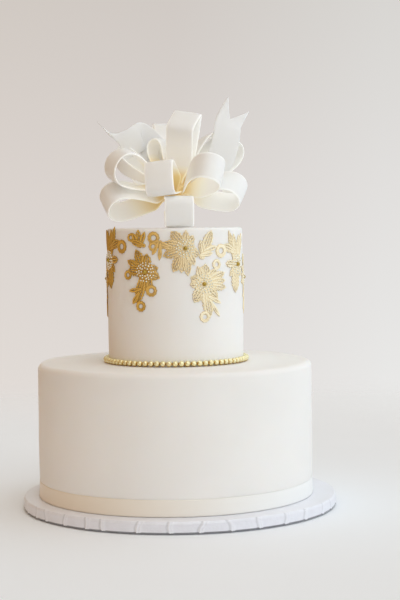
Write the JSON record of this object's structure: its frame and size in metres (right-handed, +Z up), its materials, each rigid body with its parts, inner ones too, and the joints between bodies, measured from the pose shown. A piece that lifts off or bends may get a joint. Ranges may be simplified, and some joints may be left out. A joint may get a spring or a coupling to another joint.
{
  "type": "tiered wedding cake",
  "caption": "Wedding cake of a narrow tier on a wide one, with raised gold lace, a string of pearls, a foot ribbon and a sugar-paste bow, on its covered round board.",
  "frame": {"origin": "middle of the board's underside, on the table", "axes": "+Z up, the side shown in the picture faces -Y"},
  "size_m": [0.3048, 0.3048, 0.397],
  "materials": {
    "foil": "satin foil paper, faintly embossed",
    "icing": "smooth matt rolled icing",
    "satin": "soft satin sheen",
    "paste": "dried sugar paste, faint pearl sheen",
    "gold_lace": "edible lace brushed with gold",
    "pearl": "pearl lustre"
  },
  "bodies": {
    "root": {"cake_board": "foil", "lower_tier": "icing", "foot_ribbon": "satin", "upper_tier": "icing", "pearl_string": "pearl", "lace_drop_left": "gold_lace", "lace_curl_left": "gold_lace", "lace_spray_left": "gold_lace", "lace_wide_front": "gold_lace", "lace_leaf_right": "gold_lace", "lace_spread_right": "gold_lace", "lace_drop_right": "gold_lace", "lace_spread_far_right": "gold_lace", "lace_spray_far_left": "gold_lace", "lace_drop_back_right": "gold_lace", "lace_wide_back": "gold_lace", "lace_curl_back_right": "gold_lace", "lace_leaf_back_left": "gold_lace", "lace_drop_back_left": "gold_lace", "bow_core": "paste", "bow_loop_front_low": "paste", "bow_loop_left_low": "paste", "bow_loop_right_low": "paste", "bow_loop_back_right_low": "paste", "bow_loop_back_low": "paste", "bow_loop_back_left_low": "paste", "bow_loop_front_left": "paste", "bow_loop_front_right": "paste", "bow_loop_left_high": "paste", "bow_loop_right_high": "paste", "bow_loop_back_right": "paste", "bow_loop_back_left": "paste", "bow_loop_crown": "paste", "bow_loop_crown_left": "paste", "bow_loop_crown_back_left": "paste", "bow_loop_crown_back": "paste", "bow_loop_crown_back_right": "paste", "bow_tail_right": "paste", "bow_tail_left": "paste"}
  },
  "joints": []
}
